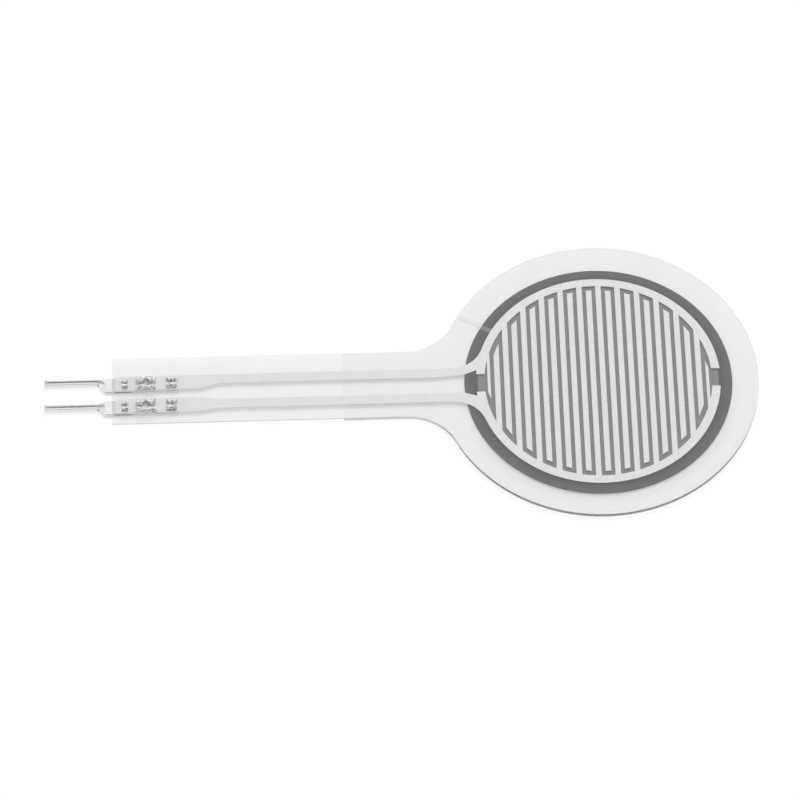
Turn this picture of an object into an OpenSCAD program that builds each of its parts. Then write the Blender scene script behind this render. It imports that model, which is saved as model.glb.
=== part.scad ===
// Flexible pressure sensor: a laminate of clear film, printed silver combs, a ring of spacer
// adhesive and a carbon print on a second film, with two crimped solder tabs on its tail.
// Origin: middle of the round head, on the back face. The tail runs along -X, and left is +Y.

/* [Head] */
// Diameter of the round head
head_d = 27.5; // [26:0.1:32]
// Diameter of the carbon print on the lower film
carbon_d = 23; // [22:0.1:24]
// Diameter of the opening in the spacer, which is the sensing area
opening_d = 20.7; // [20:0.1:20.9]
// Width of the vent through the spacer
vent_w = 0.4; // [0.2:0.1:1]
// Direction of the vent, from the +X axis
vent_angle = 149; // [60:1:150]

/* [Tail] */
// Width of the tail
tail_w = 6.7; // [6.4:0.1:8]
// From the head's centre to the cut end of the upper film
tail_l = 41.7; // [41.5:0.1:41.9]
// From the head's centre to where the spacer and the lower film stop
step_l = 21.9; // [18:0.1:30]
// Radius of the fillets where the tail meets the head
neck_r = 4.5; // [1:0.1:5]

/* [Layers] */
// Thickness of the lower film
base_t = 0.125; // [0.1:0.005:0.15]
// Thickness of the spacer adhesive
spacer_t = 0.2; // [0.15:0.005:0.3]
// Thickness of the upper film
top_t = 0.125; // [0.1:0.005:0.2]
// Thickness of the silver print
silver_t = 0.025; // [0.02:0.005:0.04]
// Thickness of the carbon print
carbon_t = 0.025; // [0.02:0.005:0.04]

/* [Silver combs] */
// Outer diameter of the ring that joins the fingers
ring_d = 21; // [21:0.1:21.5]
// Width of that ring
ring_w = 0.73; // [0.5:0.01:0.9]
// Width of the cuts that part the ring into two halves
ring_cut = 1.8; // [1.2:0.1:2]
// Distance from one finger to the next
finger_pitch = 0.825; // [0.815:0.005:0.83]
// Width of a finger
finger_w = 0.48; // [0.3:0.01:0.5]
// Width of the first and the last finger
end_finger_w = 0.25; // [0.2:0.01:0.3]
// Gap between a finger's free end and the ring
tip_gap = 0.45; // [0.3:0.01:0.6]

/* [Traces] */
// Distance between the two traces, and between the two solder pins
pitch = 2.54; // [2.5:0.01:2.6]
// How far the traces sit off the tail's centreline
trace_shift = -0.15; // [-0.2:0.05:0]
// Width of a trace
trace_w = 0.9; // [0.8:0.05:1.2]
// Distance between the two pads that the traces end in, and between the plates under them
pad_pitch = 2.3; // [2.3:0.02:2.54]
// How far the pads sit off the tail's centreline
pad_shift = -0.3; // [-0.35:0.05:0]
// Width of a pad
pad_w = 1.4; // [1.4:0.05:1.8]
// From the head's centre to where a pad starts to narrow
pad_l = 34.2; // [33:0.1:35]
// Radius at which a trace's outer edge runs into the ring
flare_r = 2.8; // [1:0.1:3]

/* [Solder tabs] */
// How far the plates sit off the pads over them
plate_shift = -0.15; // [-0.15:0.05:0]
// How far the pins sit off the tail's centreline
pin_shift = -0.2; // [-0.3:0.05:-0.1]
// Width of the plate under the film
plate_w = 1.4; // [1.3:0.05:1.4]
// Thickness of the plate
plate_t = 0.3; // [0.2:0.01:0.3]
// From the head's centre to the plate's inner end
plate_in = 36; // [35.5:0.1:36]
// From the head's centre to the plate's outer end
plate_out = 42.2; // [42:0.1:43]
// From the head's centre to the tip of the pin
tip_l = 47.5; // [46:0.1:50]
// Width of the folded pin
pin_w = 0.54; // [0.5:0.01:0.6]
// Height of the folded pin
pin_h = 0.44; // [0.4:0.01:0.5]
// Thickness of the claws that pierce the film
claw_t = 0.13; // [0.1:0.01:0.14]

/* [Hidden] */
$fn = 96;
LEFT = 1;
RIGHT = -1;
// Longer than the part, for cuts that run right through it
far = 120;

// Heights of the layers
top_z = base_t + spacer_t + top_t;
film_z = base_t + spacer_t;
silver_z = film_z - silver_t;

// Comb: the fingers are counted from the tail's side, and every second one is the left comb's
finger_n = 24;
ring_in_r = ring_d / 2 - ring_w;
ring_mid_r = ring_d / 2 - ring_w / 2;
tip_r = ring_in_r - tip_gap;
finger_gap = finger_pitch - finger_w;
end_finger_x = (finger_n - 3) / 2 * finger_pitch + finger_w / 2 + finger_gap + end_finger_w / 2;
// The two end fingers stop on a slant, past the middle: at their outer and their inner edge
end_tip_out = 1;
end_tip_in = 1.65;

// Traces: how they widen from the tail into the ring, and how they end
throat_l = 14;
throat_neck_x = 11.5;
throat_neck_y = 0.88;
throat_mouth_y = 1.3;
pad_taper = 1.8;
pad_margin = 0.3;

// Solder tabs
funnel_l = 0.85;
fold_gap = 0.12;
fold_depth = 0.22;
pocket_w = 0.75;
pocket_l = 0.65;
burr_l = 0.25;
burr_w = 0.62;
burr_h = 0.46;
round_r = 0.1;
tip_share = 0.4;
// Each pair of claws: distance from the head's centre, width, span across the plate, curl radius,
// and how far the pair sits to the left of the plate's middle.
// Four curl radii are less than the span, so the two tips of a pair stay apart.
CLAWS = [[40.6, 0.52, 0.84, 0.19, 0.06], [39.2, 0.76, plate_w, 0.31, 0],
         [38.36, 0.76, plate_w, 0.31, 0], [36.6, 0.86, 1.04, 0.24, 0.12]];

function chord(r, x) = sqrt(r * r - x * x);
function trace_y(side) = side * pitch / 2 + trace_shift;
function pad_y(side) = side * pad_pitch / 2 + pad_shift;
function plate_y(side) = pad_y(side) + plate_shift;
// How far a pin sits off the middle of its plate
function pin_y(side) = side * pitch / 2 + pin_shift - plate_y(side);
function finger_x(k) = (k - (finger_n - 1) / 2) * finger_pitch;

// The web that fills the corner between a round edge and a straight one along its left side
module corner_web(round_edge_r, straight_y, fillet_r) {
    cy = straight_y + fillet_r;
    cx = -chord(round_edge_r + fillet_r, cy);
    difference() {
        polygon([[cx, cy], [cx, 0], [0, 0]]);
        translate([cx, cy]) circle(fillet_r);
    }
}

// Outline of the layers: round head, tail of a given length, and the fillets between them
module racket(len) {
    circle(head_d / 2);
    translate([-len, -tail_w / 2]) square([len, tail_w]);
    corner_web(head_d / 2, tail_w / 2, neck_r);
    mirror([0, 1]) corner_web(head_d / 2, tail_w / 2, neck_r);
}

module ring_half() {
    difference() {
        circle(ring_d / 2);
        circle(ring_in_r);
        translate([-far / 2, ring_cut / 2 - far]) square(far);
    }
}

// A finger hangs from the ring and stops short of the other half of it
module finger(k) {
    x = finger_x(k);
    intersection() {
        translate([x - finger_w / 2, -ring_mid_r]) square([finger_w, ring_mid_r + chord(ring_mid_r, x)]);
        union() {
            circle(tip_r);
            translate([-far / 2, 0]) square(far);
        }
    }
}

// The narrow finger beside the traces, cut on a slant
module end_finger() {
    outer = -end_finger_x - end_finger_w / 2;
    inner = -end_finger_x + end_finger_w / 2;
    root = chord(ring_mid_r, end_finger_x);
    polygon([[outer, root], [outer, -end_tip_out], [inner, -end_tip_in], [inner, root]]);
}

// One comb, as the left one lies. The right one is the same, turned by half a turn.
module comb() {
    ring_half();
    end_finger();
    for (k = [2 : 2 : finger_n - 2]) finger(k);
}

// The space between the two traces, where they widen towards the ring
module throat() {
    polygon([[-throat_l, trace_y(LEFT) - trace_w / 2], [-throat_neck_x, throat_neck_y],
             [-ring_d / 2, throat_mouth_y], [-ring_in_r, throat_mouth_y],
             [-ring_in_r, -throat_mouth_y], [-ring_d / 2, -throat_mouth_y],
             [-throat_neck_x, trace_y(RIGHT) + trace_w / 2], [-throat_l, trace_y(RIGHT) + trace_w / 2]]);
}

// One trace from its pad to the ring
module trace(side) {
    y = trace_y(side);
    pad_end = -tail_l + pad_margin;
    narrow = -pad_l + pad_taper;
    pad_low = pad_y(side) - pad_w / 2;
    pad_high = pad_y(side) + pad_w / 2;
    polygon([[pad_end, pad_low], [-pad_l, pad_low], [narrow, y - trace_w / 2],
             [narrow, y + trace_w / 2], [-pad_l, pad_high], [pad_end, pad_high]]);
    difference() {
        union() {
            translate([narrow, y - trace_w / 2]) square([-narrow, trace_w]);
            mirror([0, side == LEFT ? 0 : 1]) corner_web(ring_d / 2, abs(y) + trace_w / 2, flare_r);
        }
        circle(ring_mid_r);
        throat();
    }
}

module silver_outline(side) {
    rotate(side == LEFT ? 0 : 180) comb();
    trace(side);
}

// Where the claws of one tab pass through print and film
module claw_slits(side) {
    for (c = CLAWS)
        for (edge = [LEFT, RIGHT])
            translate([-c[0], plate_y(side) + c[4] + edge * (c[2] - claw_t) / 2])
                square([c[1], claw_t], center = true);
}

module base_film() {
    color("whitesmoke", 0.6) linear_extrude(base_t) racket(step_l);
}

module carbon_pad() {
    color("dimgray") translate([0, 0, base_t]) linear_extrude(carbon_t) circle(carbon_d / 2);
}

// The spacer closes round the prints above and below it
module spacer() {
    color("gainsboro", 0.6) difference() {
        translate([0, 0, base_t]) linear_extrude(spacer_t) difference() {
            racket(step_l);
            circle(opening_d / 2);
            rotate(vent_angle) translate([0, -vent_w / 2]) square([head_d, vent_w]);
        }
        carbon_pad();
        silver(LEFT);
        silver(RIGHT);
    }
}

module silver(side) {
    translate([0, 0, silver_z]) linear_extrude(silver_t) difference() {
        silver_outline(side);
        claw_slits(side);
    }
}

module silver_comb_left() {
    color("silver") silver(LEFT);
}

module silver_comb_right() {
    color("silver") silver(RIGHT);
}

module top_film() {
    color("white", 0.4) translate([0, 0, film_z]) linear_extrude(top_t) difference() {
        racket(tail_l);
        claw_slits(LEFT);
        claw_slits(RIGHT);
    }
}

// A claw on the left edge of its span: up through the film, over in a half circle, down onto it
module claw(width, span, curl_r) {
    y = span / 2 - curl_r;
    intersection() {
        rotate([90, 0, 90]) translate([0, 0, -width / 2]) linear_extrude(width) {
            translate([span / 2 - claw_t, silver_z - plate_t / 2]) square([claw_t, top_z - silver_z + plate_t / 2]);
            translate([y, top_z]) difference() {
                circle(curl_r);
                circle(curl_r - claw_t);
                translate([-curl_r, -2 * curl_r]) square(2 * curl_r);
            }
        }
        linear_extrude(far) polygon([[-width / 2, span / 2], [-width / 2, y], [-width * tip_share / 2, y - curl_r],
                                     [width * tip_share / 2, y - curl_r], [width / 2, y], [width / 2, span / 2]]);
    }
}

module rounded_bar(w, h) {
    translate([-w / 2, round_r]) square([w, h - 2 * round_r]);
    translate([round_r - w / 2, 0]) square([w - 2 * round_r, h]);
    for (y = [round_r - w / 2, w / 2 - round_r], z = [round_r, h - round_r])
        translate([y, z]) circle(round_r);
}

// The pin is the plate's strip folded on itself, with the fold's gap along its top
module folded_pin() {
    pin_l = tip_l - plate_out - funnel_l;
    translate([-tip_l, 0, 0]) rotate([90, 0, 90]) {
        linear_extrude(pin_l) difference() {
            rounded_bar(pin_w, pin_h);
            translate([-fold_gap / 2, pin_h - fold_depth]) square([fold_gap, pin_h]);
        }
        linear_extrude(burr_l) difference() {
            rounded_bar(burr_w, burr_h);
            translate([-fold_gap / 2, pin_h - fold_depth]) square([fold_gap, pin_h]);
        }
    }
}

// Between plate and pin the fold closes like a funnel, towards a pin that sits a little to one side
module funnel(aside) {
    start = -plate_out - funnel_l;
    difference() {
        intersection() {
            linear_extrude(pin_h) polygon([[start, aside - pin_w / 2], [-plate_out, -plate_w / 2],
                                           [-plate_out, plate_w / 2], [start, aside + pin_w / 2]]);
            rotate([90, 0, 0]) translate([0, 0, -plate_w / 2]) linear_extrude(plate_w)
                polygon([[start, 0], [-plate_out, 0], [-plate_out, plate_t], [start, pin_h]]);
        }
        translate([0, 0, pin_h - fold_depth]) linear_extrude(pin_h)
            polygon([[start, aside - fold_gap / 2], [start + pocket_l, -pocket_w / 2],
                     [start + pocket_l, pocket_w / 2], [start, aside + fold_gap / 2]]);
    }
}

// One stamped tab: plate under the film, claws through it, folded pin beyond its end
module solder_tab(side) {
    plate_z = silver_z - plate_t;
    translate([0, plate_y(side), 0]) {
        difference() {
            translate([-plate_out, -plate_w / 2, plate_z]) cube([plate_out - plate_in, plate_w, plate_t]);
            for (c = CLAWS)
                if (c[2] < plate_w)
                    translate([-c[0], c[4], 0]) cube([c[1], c[2] - 2 * claw_t, far], center = true);
        }
        for (c = CLAWS)
            translate([-c[0], c[4], 0]) {
                claw(c[1], c[2], c[3]);
                mirror([0, 1, 0]) claw(c[1], c[2], c[3]);
            }
        translate([0, 0, plate_z]) {
            funnel(pin_y(side));
            translate([0, pin_y(side), 0]) folded_pin();
        }
    }
}

module solder_tab_left() {
    color("lightgray") solder_tab(LEFT);
}

module solder_tab_right() {
    color("lightgray") solder_tab(RIGHT);
}

base_film();
carbon_pad();
spacer();
silver_comb_left();
silver_comb_right();
top_film();
solder_tab_left();
solder_tab_right();
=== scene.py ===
"""The looks of a flexible pressure sensor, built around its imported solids.

Sizes in the dataclasses are millimetres in the part's own frame: the origin is the middle of the
round head on its back face, the tail runs along -X, and left is +Y.
"""

from __future__ import annotations

import logging
import math
from collections.abc import Iterable
from dataclasses import dataclass, field
from enum import Enum
from typing import Any, Union

import bmesh
import bpy
from mathutils import Matrix, Vector, noise

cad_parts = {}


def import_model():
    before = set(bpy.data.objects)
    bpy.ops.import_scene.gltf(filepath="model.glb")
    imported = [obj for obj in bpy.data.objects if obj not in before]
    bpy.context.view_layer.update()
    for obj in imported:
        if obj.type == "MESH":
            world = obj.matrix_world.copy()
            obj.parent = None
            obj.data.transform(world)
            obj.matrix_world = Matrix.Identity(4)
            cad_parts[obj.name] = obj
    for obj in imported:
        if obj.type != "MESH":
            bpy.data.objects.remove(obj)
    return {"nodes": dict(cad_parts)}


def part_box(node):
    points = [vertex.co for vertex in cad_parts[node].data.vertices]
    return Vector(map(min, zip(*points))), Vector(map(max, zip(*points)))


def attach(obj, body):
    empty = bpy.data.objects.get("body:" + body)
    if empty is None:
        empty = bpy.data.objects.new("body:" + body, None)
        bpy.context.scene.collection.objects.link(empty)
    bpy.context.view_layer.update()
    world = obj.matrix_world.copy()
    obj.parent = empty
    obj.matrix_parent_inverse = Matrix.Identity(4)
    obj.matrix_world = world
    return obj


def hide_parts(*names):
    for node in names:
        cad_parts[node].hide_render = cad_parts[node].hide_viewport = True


LOG = logging.getLogger("sensor")
MM = 0.001
BODY = "root"


class Side(Enum):
    """The two halves of the sensor, across its tail."""

    LEFT = 1
    RIGHT = -1


class Value:
    """A number or vector that varies over a surface: one socket, with Python's operators."""

    def __init__(self, recipe: Recipe, socket: bpy.types.NodeSocket) -> None:
        """Wraps a socket of a recipe's node tree."""
        self.recipe = recipe
        self.socket = socket

    def math(self, operation: str, *others: Number, clamp: bool = False) -> Value:
        """Adds a Math node with this value first.

        Args:
            operation: the node's operation.
            others: the node's other inputs.
            clamp: whether the result stays between 0 and 1.

        Returns:
            The node's result.
        """
        inputs = dict(enumerate((self, *others)))
        return self.recipe.node("ShaderNodeMath", {"operation": operation, "use_clamp": clamp}, inputs)

    def __add__(self, other: Number) -> Value:
        """Adds."""
        return self.math("ADD", other)

    __radd__ = __add__

    def __mul__(self, other: Number) -> Value:
        """Multiplies."""
        return self.math("MULTIPLY", other)

    __rmul__ = __mul__

    def __sub__(self, other: Number) -> Value:
        """Subtracts."""
        return self.math("SUBTRACT", other)

    def __rsub__(self, other: Number) -> Value:
        """Subtracts this value from a number."""
        return self * -1.0 + other

    def __truediv__(self, other: Number) -> Value:
        """Divides."""
        return self.math("DIVIDE", other)

    def __abs__(self) -> Value:
        """Drops the sign."""
        return self.math("ABSOLUTE")

    def sign(self) -> Value:
        """Gives -1, 0 or 1."""
        return self.math("SIGN")

    def root(self) -> Value:
        """Gives the square root."""
        return self.math("SQRT")

    def clamped(self) -> Value:
        """Keeps the value between 0 and 1."""
        return self.math("ADD", 0.0, clamp=True)

    def between(self, low: float, high: float, start: float = 0.0, end: float = 1.0) -> Value:
        """Runs smoothly from one number to another while this value runs from low to high.

        Args:
            low: where the change starts.
            high: where it ends.
            start: the result at low and below.
            end: the result at high and above.

        Returns:
            The eased result.
        """
        settings = {"interpolation_type": "SMOOTHSTEP"}
        return self.recipe.node("ShaderNodeMapRange", settings, {0: self, 1: low, 2: high, 3: start, 4: end})

    def parts(self) -> tuple[Value, Value, Value]:
        """Splits a vector into its three numbers."""
        split = self.recipe.node("ShaderNodeSeparateXYZ", {}, {0: self}).socket.node
        return tuple(Value(self.recipe, socket) for socket in split.outputs)


Number = Union[Value, float]


class Recipe:
    """One node tree, and the calls that fill it."""

    def __init__(self, tree: bpy.types.NodeTree) -> None:
        """Starts from an empty tree."""
        self.tree = tree
        self.tree.nodes.clear()

    def node(self, kind: str, settings: dict[str, Any], inputs: dict[Any, Any], output: Any = 0) -> Value:
        """Adds any node.

        Args:
            kind: the node's type.
            settings: its own settings, which are set first.
            inputs: numbers, colours or values for its sockets, by name or place.
            output: the name or place of the socket that is handed back.

        Returns:
            The chosen output.
        """
        made = self.tree.nodes.new(kind)
        for name, setting in settings.items():
            setattr(made, name, setting)
        for key, value in inputs.items():
            if isinstance(value, Value):
                self.tree.links.new(value.socket, made.inputs[key])
            else:
                made.inputs[key].default_value = value
        return Value(self, made.outputs[output])

    def place(self) -> Value:
        """Gives the place on the object, in millimetres."""
        metres = self.node("ShaderNodeTexCoord", {}, {}, "Object")
        return self.node("ShaderNodeVectorMath", {"operation": "SCALE"}, {0: metres, "Scale": 1 / MM})

    def noise(self, where: Value, grain: float, detail: float = 2.0, stretch: Vector | None = None) -> Value:
        """Adds noise around 0, about 1 from end to end.

        Args:
            where: the place, in millimetres.
            grain: the size of one blot, in millimetres.
            detail: how much finer noise rides on it.
            stretch: how much longer the blots are along each axis.

        Returns:
            The noise.
        """
        if stretch is not None:
            squeeze = {0: where, 1: tuple(1 / s for s in stretch)}
            where = self.node("ShaderNodeVectorMath", {"operation": "MULTIPLY"}, squeeze)
        inputs = {"Vector": where, "Scale": 1 / grain, "Detail": detail}
        return self.node("ShaderNodeTexNoise", {}, inputs, "Fac") - 0.5

    def blend(self, share: Number, first: Any, second: Any) -> Value:
        """Mixes two colours.

        Args:
            share: how much of the second there is.
            first: a colour or value.
            second: a colour or value.

        Returns:
            The mixed colour.
        """
        return self.node("ShaderNodeMix", {"data_type": "RGBA"}, {0: share, 6: first, 7: second}, 2)

    def bump(self, height: Value, depth: float) -> Value:
        """Turns a height of 0 to 1 into a normal, for a relief of that depth in millimetres."""
        return self.node("ShaderNodeBump", {}, {"Strength": 1.0, "Distance": depth * MM, "Height": height})

    def surface(self, inputs: dict[str, Any]) -> Value:
        """Adds the shader of a solid surface and makes it the tree's result."""
        shader = self.node("ShaderNodeBsdfPrincipled", {}, inputs)
        self.result("ShaderNodeOutputMaterial", shader)
        return shader

    def result(self, kind: str, shader: Value) -> None:
        """Joins a shader to an output node of that kind."""
        out = self.tree.nodes.new(kind)
        self.tree.links.new(shader.socket, out.inputs["Surface"])


def grey(tone: float) -> tuple[float, float, float, float]:
    """Gives a neutral colour."""
    return (tone, tone, tone, 1.0)


def new_material(name: str) -> tuple[bpy.types.Material, Recipe]:
    """Makes an empty material and the recipe that fills it."""
    material = bpy.data.materials.new(name)
    material.use_nodes = True
    return material, Recipe(material.node_tree)


@dataclass(frozen=True)
class Opening:
    """The round opening in the adhesive and the narrow vent that leads out of it."""

    radius: float = 10.35
    vent_width: float = 0.4
    vent_angle: float = math.radians(149)

    def off_vent(self, x: Value, y: Value) -> Value:
        """Gives 0 within the vent and 1 outside it, on the half of the head that holds it."""
        aside = abs(x * math.sin(self.vent_angle) - y * math.cos(self.vent_angle))
        beyond = aside.between(self.vent_width / 2 - 0.03, self.vent_width / 2 + 0.05)
        other_half = x.between(-1.0, -0.9)
        return (beyond + other_half).clamped()

    def covered(self, x: Value, y: Value) -> Value:
        """Gives 1 under the adhesive and 0 under the air of the opening and the vent."""
        radius = (x * x + y * y).root()
        return radius.between(self.radius - 0.05, self.radius + 0.02) * self.off_vent(x, y)


@dataclass(frozen=True)
class CutEdge:
    """How the cut edge of a sheet shows: painted shade, darker where it faces away from the window."""

    bright: float = 0.7
    dark: float = 0.12
    clear: float = 0.14
    solid: float = 0.86
    window: float = math.radians(92)
    tail_start: float = -11.5
    tail_end: float = -15.0
    tail_share: float = 0.55
    inside_r: float = 13.3
    inside_share: float = 0.25
    step: float = -21.9
    slit_y: float = 3.0
    cast: float = 0.25
    bare_cast: float = 0.35

    def masks(self, recipe: Recipe, where: Value) -> tuple[Value, Value]:
        """Finds the walls of a flat sheet, and their painted shade: how far each faces away from the window.

        Args:
            recipe: the tree that the nodes go into.
            where: the place, in millimetres.

        Returns:
            A mask of the walls and their painted shade, both from 0 to 1.
        """
        normal = recipe.node("ShaderNodeNewGeometry", {}, {}, "Normal")
        nx, ny, nz = normal.parts()
        x, y, _ = where.parts()
        wall = abs(nz).between(0.3, 0.7, 1.0, 0.0)
        across = abs(nx) * x.sign() * math.cos(self.window)
        along = abs(ny) * y.sign() * math.sin(self.window)
        # painted shade: walls turned away from the window darken, less on the tail and inside the head
        shade = (across + along).between(-0.65, 0.45, 1.0, 0.0)
        tail = x.between(self.tail_end, self.tail_start, self.tail_share, 1.0)
        inside = (x * x + y * y).root().between(self.inside_r, self.inside_r + 0.2, self.inside_share, 1.0)
        off_slits = (abs(y).between(self.slit_y, self.slit_y + 0.1) + x.between(self.step, self.step + 0.1)).clamped()
        return wall, shade * tail * inside * off_slits

    def cast_share(self, recipe: Recipe, where: Value) -> Value:
        """Gives how much of the sheet's haze a shadow ray meets, a little more of it on the bare tail."""
        shadow = recipe.node("ShaderNodeLightPath", {}, {}, "Is Shadow Ray")
        share = where.parts()[0].between(self.step - 0.1, self.step, self.bare_cast, self.cast)
        return shadow * (share - 1.0) + 1.0


@dataclass(frozen=True)
class InkShade:
    """Shade within the clear stack: beside the carbon print, away from the window, and along the vent."""

    opening: Opening
    radius: float = 11.5
    reach: float = 1.3
    depth: float = 0.08
    vent_depth: float = 0.07

    def share(self, x: Value, y: Value) -> Value:
        """Gives how much haze the shade adds at a place."""
        radius = (x * x + y * y).root()
        near_side = (y / radius).between(-0.85, 0.1, self.depth, 0.0)
        print_shade = radius.between(self.radius, self.radius + self.reach, 1.0, 0.0) * near_side
        vent = radius.between(self.radius, self.radius + 0.1, 0.0, self.vent_depth)
        return print_shade + vent * (self.opening.off_vent(x, y) * -1.0 + 1.0)


@dataclass(frozen=True)
class ClearSheet:
    """Clear plastic sheet: a faint haze on its faces, and cut edges that show, with painted shade."""

    name: str
    haze: float
    tone: float
    roughness: float = 0.28
    ripple: float = 0.0006
    mottle: float = 0.0
    edge: CutEdge = field(default_factory=CutEdge)
    shade: InkShade | None = None

    def build(self) -> bpy.types.Material:
        """Makes the material."""
        material, recipe = new_material(self.name)
        where = recipe.place()
        wall, shade = self.edge.masks(recipe, where)
        cloud = recipe.noise(where, 3.0, 3.0)
        speck = recipe.noise(where, 0.35, 2.0)
        haze = (cloud * 0.25 + speck * self.mottle + 1.0) * self.haze
        face_colour = recipe.blend((cloud + 0.5).clamped(), grey(self.tone * 0.97), grey(self.tone * 1.03))
        if self.shade is not None:
            x, y, _ = where.parts()
            haze = haze + self.shade.share(x, y)
        # the cut edges carry the painted shade: darker and more opaque where it is deep
        cut = shade * (self.edge.solid - self.edge.clear) + self.edge.clear
        alpha = (haze + wall * (cut - haze)) * self.edge.cast_share(recipe, where)
        edge_colour = recipe.blend(shade, grey(self.edge.bright), grey(self.edge.dark))
        scuff = recipe.noise(where, 0.6, 4.0, Vector((6.0, 1.0, 1.0)))
        recipe.surface({
            "Base Color": recipe.blend(wall, face_colour, edge_colour),
            "Roughness": (scuff * 0.2 + self.roughness).clamped(),
            "Alpha": alpha.clamped(),
            "IOR": 1.6,
            "Normal": recipe.bump(recipe.noise(where, 1.6, 2.0), self.ripple),
        })
        return material


@dataclass(frozen=True)
class CarbonInk:
    """Matt carbon print, paler under the air of the opening and the vent, and towards its outer edge."""

    opening: Opening
    open_tone: float = 0.245
    wet_tone: float = 0.034
    outer_gain: float = 0.035
    rim_depth: float = 0.3
    mottle: float = 0.12

    def build(self) -> bpy.types.Material:
        """Makes the material."""
        material, recipe = new_material("carbon_ink")
        where = recipe.place()
        x, y, _ = where.parts()
        radius = (x * x + y * y).root()
        wet = self.opening.covered(x, y)
        outwards = radius - self.opening.radius
        rim = outwards.between(0.1, 0.55, self.rim_depth, 0.0) * wet
        grain = recipe.noise(where, 0.07, 3.0)
        speck = recipe.noise(where, 0.16, 3.0)
        blot = recipe.noise(where, 0.9, 3.0)
        outer = outwards.between(0.1, 1.1, 0.3, 1.2) * self.outer_gain
        tone = wet * (outer + self.wet_tone - self.open_tone) + self.open_tone
        tone = tone * (rim * -1.0 + 1.0) * (blot * 0.3 + 1.0)
        recipe.surface({
            "Base Color": (tone + speck * self.mottle).clamped(),
            "Roughness": (grain * 0.3 + 0.82).clamped(),
            "Specular IOR Level": 0.3,
            "Normal": recipe.bump(grain + blot * 0.5, 0.006),
        })
        return material


@dataclass(frozen=True)
class SilverInk:
    """Matt silver print: fine flakes in a binder, laid through a mesh."""

    tone: float = 0.965
    mesh_pitch: float = 0.11

    def build(self) -> bpy.types.Material:
        """Makes the material."""
        material, recipe = new_material("silver_ink")
        where = recipe.place()
        x, y, _ = where.parts()
        flakes = recipe.noise(where, 0.045, 3.0)
        speck = recipe.noise(where, 0.15, 3.0)
        blot = recipe.noise(where, 0.6, 2.0)
        threads = (x * (math.tau / self.mesh_pitch)).math("SINE")
        threads = threads + (y * (math.tau / self.mesh_pitch)).math("SINE")
        dim = (flakes * 0.5 + speck * 2.6 + blot * 0.6 + threads * 0.06 + 0.35).clamped()
        recipe.surface({
            "Base Color": recipe.blend(dim, grey(self.tone), grey(self.tone * 0.87)),
            "Metallic": (flakes * 0.12 + 0.06).clamped(),
            "Roughness": (flakes * 0.3 + 0.65).clamped(),
            "Normal": recipe.bump(flakes + threads * 0.15, 0.004),
        })
        return material


@dataclass(frozen=True)
class TinPlate:
    """Bright tin over stamped copper alloy: drawn lines along the strip, and scuffed, dulled claws with painted
    reflections of crumpled metal, dark patches and bright glints.
    """

    bright: float = 0.9
    dull: float = 0.72
    scuffed: float = 0.88
    # tone of the dark patches on the claws, painted reflections of crumpled metal
    bare: float = 0.19
    # tone of the darker sloped faces along the plate's edges
    sloped_edges: float = 0.22
    # tone, and span along the strip, of a painted shade line under the small claws
    shade_line_tone: float = 0.2
    shade_line_span: tuple[float, float] = (-41.5, -40.0)
    plate_top: float = 0.3
    film_top: float = 0.45
    pins_x: float = -42.2

    def build(self) -> bpy.types.Material:
        """Makes the material."""
        material, recipe = new_material("tin_plate")
        where = recipe.place()
        x, _, z = where.parts()
        nz = abs(recipe.node("ShaderNodeNewGeometry", {}, {}, "Normal").parts()[2])
        claw = z.between(self.film_top, self.film_top + 0.04)
        drawn = recipe.noise(where, 0.05, 2.0, Vector((14.0, 1.0, 1.0)))
        dents = recipe.noise(where, 0.22, 2.0)
        speck = recipe.noise(where, 0.09, 3.0)
        stain = recipe.noise(where, 0.7, 3.0)
        worn = (dents * 0.6 + stain * 0.8 + 0.3).clamped()
        plate = recipe.blend(worn, grey(self.bright), grey(self.dull))
        # darker on the sloped faces of the strip, from the pin's root inwards
        sloped_edges = nz.between(0.15, 0.4) * nz.between(0.85, 0.99, 1.0, 0.0) * x.between(self.pins_x - 0.2, self.pins_x)
        plate = recipe.blend(sloped_edges * 0.9, plate, grey(self.sloped_edges))
        # painted shade: a dark line on the upper half of the plate's walls, under the small claws
        start, end = self.shade_line_span
        rim = x.between(start - 0.2, start + 0.2) * x.between(end - 0.2, end + 0.2, 1.0, 0.0)
        upper = z.between(self.plate_top / 2 - 0.03, self.plate_top / 2 + 0.03)
        upper = upper * z.between(self.plate_top - 0.04, self.plate_top, 1.0, 0.0)
        rim = rim * upper * nz.between(0.3, 0.6, 1.0, 0.0)
        plate = recipe.blend(rim, plate, grey(self.shade_line_tone))
        # painted reflections on the claws: dark patches and bright glints stand in for the reflections of crumpled
        # metal
        patch = recipe.noise(where, 0.17, 2.0)
        painted_dark_reflection = (patch * 5.0 + speck * 2.5 + 0.1).clamped()
        rough = recipe.blend(painted_dark_reflection, grey(self.scuffed), grey(self.bare))
        glint = (speck * -3.0 - patch * 3.0 - 0.6).clamped()
        recipe.surface({
            "Base Color": recipe.blend(claw, plate, recipe.blend(glint, rough, grey(self.bright))),
            "Metallic": claw * -0.5 + 1.0,
            "Roughness": (drawn * 0.25 + dents * 0.2 + claw * 0.1 + 0.32).clamped(),
            "Normal": recipe.bump(dents * claw + drawn * 0.2 + speck * claw * 0.8, 0.025),
        })
        return material


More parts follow.
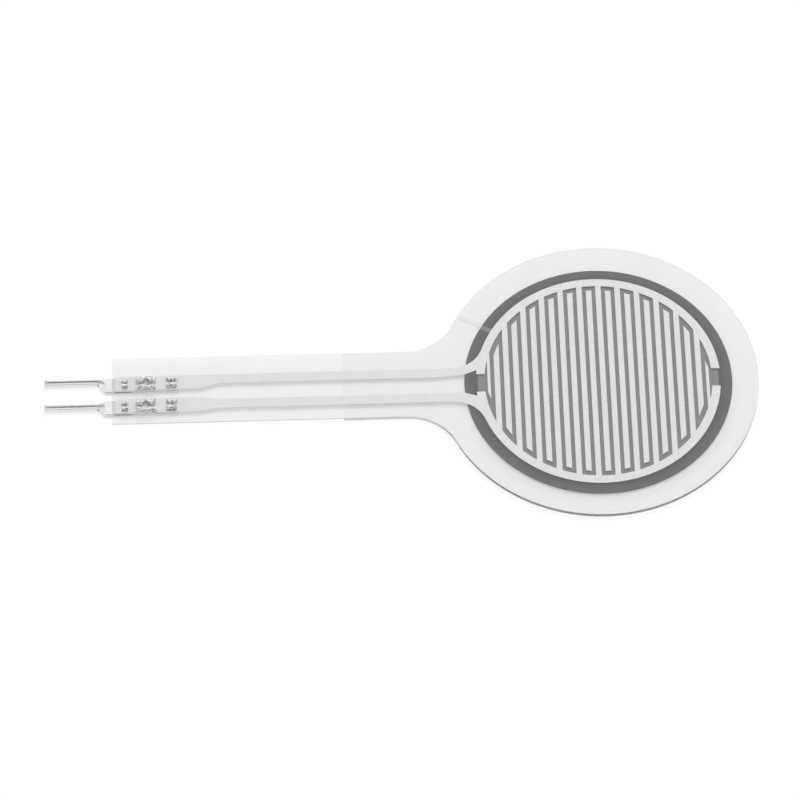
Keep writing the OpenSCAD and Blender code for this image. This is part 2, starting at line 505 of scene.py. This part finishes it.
@dataclass(frozen=True)
class Viewpoint:
    """Where the camera stands, as fitted to the round outlines and the printed fingers."""

    azimuth: float = math.radians(-1.6786)
    elevation: float = math.radians(56.4282)
    roll: float = math.radians(-0.0682)
    distance: float = 531.3
    focal_px: float = 6190.76
    frame_px: float = 800.0
    origin_px: tuple[float, float] = (598.26, 381.9)
    sensor: float = 36.0

    def place(self) -> bpy.types.Object:
        """Adds the camera and makes it the scene's own."""
        a, e, r = self.azimuth, self.elevation, self.roll
        back = Vector((math.sin(a) * math.cos(e), -math.cos(a) * math.cos(e), math.sin(e)))
        level = Vector((math.cos(a), math.sin(a), 0.0))
        rise = back.cross(level)
        right = math.cos(r) * level + math.sin(r) * rise
        up = math.cos(r) * rise - math.sin(r) * level
        aside = (self.origin_px[0] - self.frame_px / 2) / self.focal_px
        above = (self.frame_px / 2 - self.origin_px[1]) / self.focal_px
        stand = self.distance * MM * (back - aside * right - above * up)
        data = bpy.data.cameras.new("photo_camera")
        data.sensor_width = self.sensor
        data.lens = self.focal_px / self.frame_px * self.sensor
        data.clip_start = 0.01
        camera = bpy.data.objects.new("photo_camera", data)
        turn = Matrix((right, up, back)).transposed().to_4x4()
        camera.matrix_world = Matrix.Translation(stand) @ turn
        bpy.context.scene.collection.objects.link(camera)
        bpy.context.scene.camera = camera
        return camera


@dataclass(frozen=True)
class Studio:
    """A pale floor, a soft window behind the part, and a surround that is white but for its front."""

    sky: float = 0.58
    window_light: float = 0.47
    window_azimuth: float = math.radians(75)
    window_elevation: float = math.radians(55)
    window_distance: float = 900.0
    window_size: float = 640.0
    front_tone: float = 0.5
    floor_size: float = 6000.0
    floor_drop: float = 0.01
    floor_level: float = 1.06
    floor_tone: float = 0.6
    pin_floor_tone: float = 0.4
    pin_floor_x: float = -42.5
    clear_faces: int = 32

    def seen(self, recipe: Recipe) -> Value:
        """Gives 1 for rays that show the surround: from the camera, off gloss or through glass."""
        names = ("Is Camera Ray", "Is Glossy Ray", "Is Transmission Ray")
        rays = [recipe.node("ShaderNodeLightPath", {}, {}, name) for name in names]
        return (rays[0] + rays[1] + rays[2]).clamped()

    def floor(self) -> None:
        """Lays the floor, a hair below the part so that the two never share a plane.

        Where it is seen, its own glow makes up what its matt colour lacks to white. Under the pins
        the glow is stronger, so that their shadow is faint.
        """
        material, recipe = new_material("pale_floor")
        where = recipe.place()
        x = where.parts()[0]
        tone = x.between(self.pin_floor_x - 0.5, self.pin_floor_x + 0.5, self.pin_floor_tone, self.floor_tone)
        matt = recipe.node("ShaderNodeBsdfDiffuse", {}, {"Color": recipe.node(
            "ShaderNodeCombineColor", {}, {0: tone, 1: tone, 2: tone})})
        strength = self.seen(recipe) * (self.floor_level - tone)
        glow = recipe.node("ShaderNodeEmission", {}, {"Strength": strength})
        recipe.result("ShaderNodeOutputMaterial", recipe.node("ShaderNodeAddShader", {}, {0: matt, 1: glow}))
        bm = bmesh.new()
        bmesh.ops.create_grid(bm, x_segments=1, y_segments=1, size=self.floor_size / 2)
        bmesh.ops.translate(bm, verts=bm.verts, vec=(0.0, 0.0, -self.floor_drop))
        to_object("floor", bm, material)

    def surround(self) -> None:
        """Gives the world its soft light, and white where it is seen."""
        world = bpy.data.worlds.new("surround")
        world.use_nodes = True
        bpy.context.scene.world = world
        recipe = Recipe(world.node_tree)
        level = math.cos(self.window_elevation)
        back = (0.0, level, math.sin(self.window_elevation))
        direction = recipe.node("ShaderNodeTexCoord", {}, {}, "Generated")
        facing = recipe.node("ShaderNodeVectorMath", {"operation": "DOT_PRODUCT"}, {0: direction, 1: back}, "Value")
        gloss = recipe.node("ShaderNodeLightPath", {}, {}, "Is Glossy Ray")
        dimmed = gloss * facing.between(0.35, 0.85, 1.0 - self.front_tone, 0.0)
        strength = self.seen(recipe) * (1.0 - self.sky) + self.sky - dimmed
        light = recipe.node("ShaderNodeBackground", {}, {"Color": grey(1.0), "Strength": strength})
        recipe.result("ShaderNodeOutputWorld", light)

    def window(self) -> None:
        """Hangs the soft window that gives the part its shadow."""
        far = self.window_distance * MM
        data = bpy.data.lights.new("window", "AREA")
        data.shape = "SQUARE"
        data.size = self.window_size * MM
        data.energy = self.window_light * math.pi**2 * far**2 / math.sin(self.window_elevation)
        lamp = bpy.data.objects.new("window", data)
        level = math.cos(self.window_elevation)
        back = Vector((
            math.cos(self.window_azimuth) * level,
            math.sin(self.window_azimuth) * level,
            math.sin(self.window_elevation),
        ))
        lamp.matrix_world = Matrix.Translation(back * far) @ back.to_track_quat("Z", "Y").to_matrix().to_4x4()
        lamp.visible_glossy = False
        bpy.context.scene.collection.objects.link(lamp)

    def build(self) -> None:
        """Sets the stage, and lets light pass every clear face of the stack on its way in and out."""
        bpy.context.scene.view_settings.view_transform = "Standard"
        bpy.context.scene.cycles.transparent_max_bounces = self.clear_faces
        self.floor()
        self.surround()
        self.window()


def to_object(name: str, bm: bmesh.types.BMesh, material: bpy.types.Material) -> bpy.types.Object:
    """Turns a bmesh in millimetres into an object at the origin, in metres.

    Args:
        name: the object's name.
        bm: its shape, which is freed.
        material: its finish.

    Returns:
        The object.
    """
    bmesh.ops.scale(bm, vec=(MM, MM, MM), verts=bm.verts)
    mesh = bpy.data.meshes.new(name)
    bm.to_mesh(mesh)
    bm.free()
    stale = mesh.attributes.get("custom_normal")
    if stale is not None:
        mesh.attributes.remove(stale)
    mesh.materials.append(material)
    made = bpy.data.objects.new(name, mesh)
    bpy.context.scene.collection.objects.link(made)
    return made


def wear(piece: bpy.types.Object, material: bpy.types.Material) -> None:
    """Gives a carried-over solid its finish."""
    piece.data.materials.clear()
    piece.data.materials.append(material)


@dataclass(frozen=True)
class Print:
    """A printed or laid layer: the solid's own shape, a hair slimmer than the room it fills.

    The hair keeps its faces off the clear sheets above and below, so that no two lie in one plane.
    """

    name: str
    node: str
    slot: str
    hair: float = 0.0005

    def build(self, solid: bpy.types.Object, material: bpy.types.Material) -> bpy.types.Object:
        """Copies the solid, joins its loose triangles and slims it.

        Args:
            solid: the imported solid.
            material: the layer's finish.

        Returns:
            The piece that stands for the solid.
        """
        low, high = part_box(self.node)
        middle = (low + high) / 2
        thick = high.z - low.z
        bm = bmesh.new()
        bm.from_mesh(solid.data)
        bmesh.ops.remove_doubles(bm, verts=bm.verts, dist=1e-7)
        for face in bm.faces:
            face.smooth = False
        slim = 1.0 - 2 * self.hair * MM / thick
        trim = 1.0 - self.hair * MM / high.x
        about = Matrix.Translation((0.0, 0.0, -middle.z))
        bmesh.ops.scale(bm, vec=(trim, trim, slim), space=about, verts=bm.verts)
        bmesh.ops.scale(bm, vec=(1 / MM, 1 / MM, 1 / MM), verts=bm.verts)
        piece = to_object(self.name, bm, material)
        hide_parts(self.node)
        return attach(piece, BODY)


@dataclass(frozen=True)
class Station:
    """One cross-section of a folded strip."""

    x: float
    width: float
    height: float
    groove_width: float = 0.3
    groove_depth: float = 0.0
    rounding: float = 0.05
    towards_pin: float = 0.0


@dataclass(frozen=True)
class ClawPair:
    """Two claws that pierce the film and curl over towards each other."""

    x: float
    width: float
    span: float
    curl_r: float
    aside: float = 0.0


@dataclass
class SolderTab:
    """A stamped tab: strip under the film, claws through it, and a folded pin beyond its end."""

    side: Side
    pin_offset: float
    leans: tuple[tuple[float, float], ...]
    plate_width: float = 1.4
    plate_height: float = 0.3
    plate_in: float = 36.0
    plate_out: float = 42.2
    tip: float = 47.5
    pin_width: float = 0.54
    pin_height: float = 0.44
    fold_gap: float = 0.12
    fold_depth: float = 0.24
    lip_r: float = 0.04
    notch_r: float = 0.1
    notch_in: float = 0.68
    film_top: float = 0.45
    claw_thick: float = 0.12
    claw_dent: float = 0.04
    corner_steps: int = 3
    curl_steps: int = 14
    pairs: tuple[ClawPair, ...] = (
        ClawPair(40.6, 0.52, 0.84, 0.19, 0.06),
        ClawPair(39.2, 0.76, 1.38, 0.3),
        ClawPair(38.36, 0.76, 1.38, 0.3),
        ClawPair(36.6, 0.86, 1.04, 0.24, 0.12),
    )

    @property
    def node(self) -> str:
        """Gives the name of the solid that the tab stands for."""
        return f"solder_tab_{self.side.name.lower()}"

    def stations(self) -> tuple[Station, ...]:
        """Lists the strip's cross-sections from its inner end to the tip of the pin."""
        w, h, out = self.plate_width, self.plate_height, self.plate_out
        pin = (self.pin_width, self.pin_height, self.fold_gap, self.fold_depth, 0.1, 1.0)
        burr = (self.pin_width * 1.13, self.pin_height * 1.04, self.fold_gap * 1.3, self.fold_depth, 0.09, 1.0)
        return (
            Station(-self.plate_in, w - 0.08, h - 0.06),
            Station(-self.plate_in - 0.04, w, h),
            Station(-out, w, h, 0.6),
            Station(-out - 0.16, w * 0.95, h * 1.03, 0.6, 0.0, 0.05, 0.1),
            Station(-out - 0.22, w * 0.9, h * 1.06, 0.6, 0.18, 0.05, 0.2),
            Station(-out - 0.42, w * 0.66, h * 1.22, 0.5, 0.25, 0.06, 0.5),
            Station(-out - 0.64, w * 0.46, h * 1.38, 0.32, 0.26, 0.08, 0.8),
            Station(-out - 0.85, *pin),
            Station(-out - 1.1, *pin),
            Station(-self.tip + 0.32, *pin),
            Station(-self.tip + 0.22, *burr),
            Station(-self.tip + 0.05, *burr),
            Station(-self.tip, burr[0] - 0.08, burr[1] - 0.05, burr[2], burr[3], 0.07, 1.0),
        )

    def outline(self, cut: Station) -> list[tuple[float, float]]:
        """Works out a cross-section's outline.

        Args:
            cut: the cross-section.

        Returns:
            Its points across and up, in order round the strip.
        """
        half, r = cut.width / 2, cut.rounding
        corners = (
            (-half + r, r, math.pi),
            (half - r, r, 1.5 * math.pi),
            (half - r, cut.height - r, 0.0),
            (-half + r, cut.height - r, 0.5 * math.pi),
        )
        lip, floor = cut.groove_width / 2, cut.height - cut.groove_depth
        soft = min(self.lip_r, cut.groove_depth * 0.3)
        near_lip = [(lip + soft, cut.height), (lip + soft * 0.3, cut.height - soft * 0.7), (lip * 0.8, floor)]
        far_lip = [(-y, z) for y, z in reversed(near_lip)]
        points = []
        for index, (y, z, start) in enumerate(corners):
            for step in range(self.corner_steps + 1):
                turn = start + step * math.pi / 2 / self.corner_steps
                points.append((y + r * math.cos(turn), z + r * math.sin(turn)))
            if index == 2:
                points += near_lip + far_lip
        aside = cut.towards_pin * self.pin_offset
        return [(y + aside, z) for y, z in points]

    def strip(self) -> bmesh.types.BMesh:
        """Lofts the strip through its cross-sections."""
        bm = bmesh.new()
        rings = []
        for cut in self.stations():
            verts = [bm.verts.new((cut.x, y, z)) for y, z in self.outline(cut)]
            rings.append([bm.edges.new((a, b)) for a, b in zip(verts, verts[1:] + verts[:1])])
        for first, second in zip(rings, rings[1:]):
            bmesh.ops.bridge_loops(bm, edges=first + second)
        for ring in (rings[0], rings[-1]):
            bmesh.ops.triangle_fill(bm, edges=ring, use_beauty=True)
        bmesh.ops.recalc_face_normals(bm, faces=bm.faces)
        return bm

    def claw(self, pair: ClawPair, side: Side, lean: float) -> bmesh.types.BMesh:
        """Bends one claw: up out of the strip, over in a half circle, and down onto the film.

        Args:
            pair: the pair that it belongs to.
            side: the edge of the strip that it stands on.
            lean: how far its tip is pushed along the strip, as a share of the curl's radius.

        Returns:
            Its shape.
        """
        thick, root = self.claw_thick, self.plate_height / 2
        outer, centre = pair.span / 2, pair.span / 2 - pair.curl_r
        bm = bmesh.new()
        bmesh.ops.create_grid(bm, x_segments=8, y_segments=1, size=0.5)
        bmesh.ops.scale(bm, vec=(pair.width, thick, 1.0), verts=bm.verts)
        bmesh.ops.translate(bm, vec=(-pair.x, outer - thick / 2, root), verts=bm.verts)
        raised = bmesh.ops.extrude_face_region(bm, geom=bm.faces[:])["geom"]
        top = [part for part in raised if isinstance(part, bmesh.types.BMVert)]
        bmesh.ops.translate(bm, vec=(0.0, 0.0, self.film_top - root), verts=top)
        level = self.film_top - 1e-4
        faces = [face for face in bm.faces if all(v.co.z > level for v in face.verts)]
        bmesh.ops.spin(
            bm, geom=faces, angle=math.radians(172), steps=self.curl_steps, axis=(1.0, 0.0, 0.0),
            cent=(-pair.x, centre, self.film_top))
        bmesh.ops.remove_doubles(bm, verts=bm.verts, dist=1e-4)
        for vert in bm.verts:
            if vert.co.z < level:
                continue
            reach = min(max((centre - vert.co.y) / pair.curl_r + 0.6, 0.0), 1.6) / 1.6
            narrow = math.sqrt(1.0 - 0.85 * reach**2.5)
            vert.co.x = -pair.x + (vert.co.x + pair.x) * narrow + lean * pair.curl_r * reach
            seed = Vector((vert.co.x * 4.0 + lean * 9.0, vert.co.y * 4.0 + side.value * 5.0, vert.co.z * 4.0))
            seed += Vector((0.0, 0.0, self.side.value * 3.0))
            dent = min((vert.co.z - level) / 0.08, 1.0) * self.claw_dent
            vert.co += (noise.noise_vector(seed) + noise.noise_vector(seed * 2.2) * 0.5) * dent
        if side is Side.RIGHT:
            bmesh.ops.scale(bm, vec=(1.0, -1.0, 1.0), verts=bm.verts)
        bmesh.ops.translate(bm, vec=(0.0, pair.aside, 0.0), verts=bm.verts)
        bmesh.ops.recalc_face_normals(bm, faces=bm.faces)
        sharp = [edge for edge in bm.edges if edge.is_manifold and edge.calc_face_angle() > 0.9]
        bmesh.ops.bevel(
            bm, geom=sharp, offset=0.022, segments=2, profile=0.5, affect="EDGES", material=-1,
            clamp_overlap=True)
        return bm

    def window(self, pair: ClawPair) -> bmesh.types.BMesh:
        """Shapes the hole that a narrow pair of claws leaves in the strip it was cut from."""
        bm = bmesh.new()
        bmesh.ops.create_cube(bm, size=1.0)
        bmesh.ops.scale(bm, vec=(pair.width, pair.span - 0.26, 1.0), verts=bm.verts)
        bmesh.ops.translate(bm, vec=(-pair.x, pair.aside, 0.0), verts=bm.verts)
        return bm

    def notch(self, side: Side) -> bmesh.types.BMesh:
        """Shapes the round notch that frees the fold on one side of the pin's root."""
        bm = bmesh.new()
        bmesh.ops.create_cone(
            bm, cap_ends=True, segments=20, radius1=self.notch_r, radius2=self.notch_r, depth=1.0)
        across = self.pin_offset + side.value * (self.pin_width / 2 + self.notch_r * 0.4)
        place = (-self.plate_out - self.notch_in, across, 0.5 + self.plate_height * 0.4)
        bmesh.ops.translate(bm, vec=place, verts=bm.verts)
        return bm

    def build(self, material: bpy.types.Material) -> bpy.types.Object:
        """Joins strip, windows and claws into one piece at the solid's place.

        Args:
            material: the tab's finish.

        Returns:
            The piece.
        """
        low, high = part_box(self.node)
        body = loose_object("strip", self.strip())
        for pair in self.pairs:
            if pair.span < self.plate_width - 0.1:
                merge(body, loose_object("window", self.window(pair)), "DIFFERENCE")
        for side in Side:
            merge(body, loose_object("notch", self.notch(side)), "DIFFERENCE")
        for pair, leans in zip(self.pairs, self.leans):
            for side, lean in zip(Side, leans):
                merge(body, loose_object("claw", self.claw(pair, side, lean)), "UNION")
        bm = bmesh.new()
        bm.from_mesh(body.data)
        bpy.data.objects.remove(body)
        bmesh.ops.remove_doubles(bm, verts=bm.verts, dist=1e-5)
        bmesh.ops.translate(bm, vec=(0.0, (low.y + high.y) / 2 / MM, 0.0), verts=bm.verts)
        smooth_to(bm, math.radians(38))
        piece = to_object(f"crimped_tab_{self.side.name.lower()}", bm, material)
        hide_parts(self.node)
        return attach(piece, BODY)


def loose_object(name: str, bm: bmesh.types.BMesh) -> bpy.types.Object:
    """Makes a working object in millimetres, for joining and cutting."""
    mesh = bpy.data.meshes.new(name)
    bm.to_mesh(mesh)
    bm.free()
    made = bpy.data.objects.new(name, mesh)
    bpy.context.scene.collection.objects.link(made)
    return made


def merge(body: bpy.types.Object, other: bpy.types.Object, operation: str) -> None:
    """Joins another working object to a body, or cuts it out, and drops the other.

    Args:
        body: what is kept.
        other: what is added or cut away.
        operation: the Boolean modifier's operation.
    """
    modifier = body.modifiers.new(operation, "BOOLEAN")
    modifier.operation = operation
    modifier.solver = "EXACT"
    modifier.object = other
    graph = bpy.context.evaluated_depsgraph_get()
    mesh = bpy.data.meshes.new_from_object(body.evaluated_get(graph))
    body.modifiers.clear()
    body.data = mesh
    bpy.data.objects.remove(other)


def smooth_to(bm: bmesh.types.BMesh, limit: float) -> None:
    """Shades faces smoothly across edges that turn less than a limit."""
    for face in bm.faces:
        face.smooth = True
    for edge in bm.edges:
        edge.smooth = edge.is_manifold and edge.calc_face_angle() < limit


def main() -> None:
    """Builds the stage, the sheets, the prints and the tabs in order."""
    logging.basicConfig(level=logging.INFO, format="%(message)s")
    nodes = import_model()["nodes"]
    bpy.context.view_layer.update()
    Viewpoint().place()
    Studio().build()

    opening = Opening()
    film = ClearSheet("clear_film", haze=0.123, tone=0.5).build()
    # the base film's cut edges take only a faint painted shade
    pale_edge = CutEdge(dark=0.7, solid=0.4)
    ink_shade = InkShade(opening)
    backing = ClearSheet("backing_film", haze=0.02, tone=0.5, edge=pale_edge, shade=ink_shade).build()
    glue = ClearSheet("clear_adhesive", haze=0.015, tone=0.5, roughness=0.5, mottle=0.8).build()
    wear(nodes["top_film"], film)
    wear(nodes["base_film"], backing)
    LOG.info("dressed the films")

    silver = SilverInk().build()
    for side in Side:
        name = side.name.lower()
        Print(f"silver_print_{name}", f"silver_comb_{name}", "silver_ink").build(
            nodes[f"silver_comb_{name}"], silver)
        LOG.info("printed the %s comb", name)
    carbon = CarbonInk(opening).build()
    Print("carbon_print", "carbon_pad", "carbon_ink").build(nodes["carbon_pad"], carbon)
    Print("adhesive_ring", "spacer", "clear_adhesive").build(nodes["spacer"], glue)
    LOG.info("laid the carbon and the adhesive")

    tin = TinPlate().build()
    tabs = (
        SolderTab(Side.LEFT, 0.37, ((0.2, -0.3), (-0.3, 0.1), (0.4, -0.1), (0.5, -0.2))),
        SolderTab(Side.RIGHT, 0.13, ((-0.2, 0.3), (-0.5, -0.3), (0.2, 0.5), (0.4, -0.4))),
    )
    for tab in tabs:
        tab.build(tin)
        LOG.info("folded the %s tab", tab.side.name.lower())


if __name__ == "__main__":
    main()
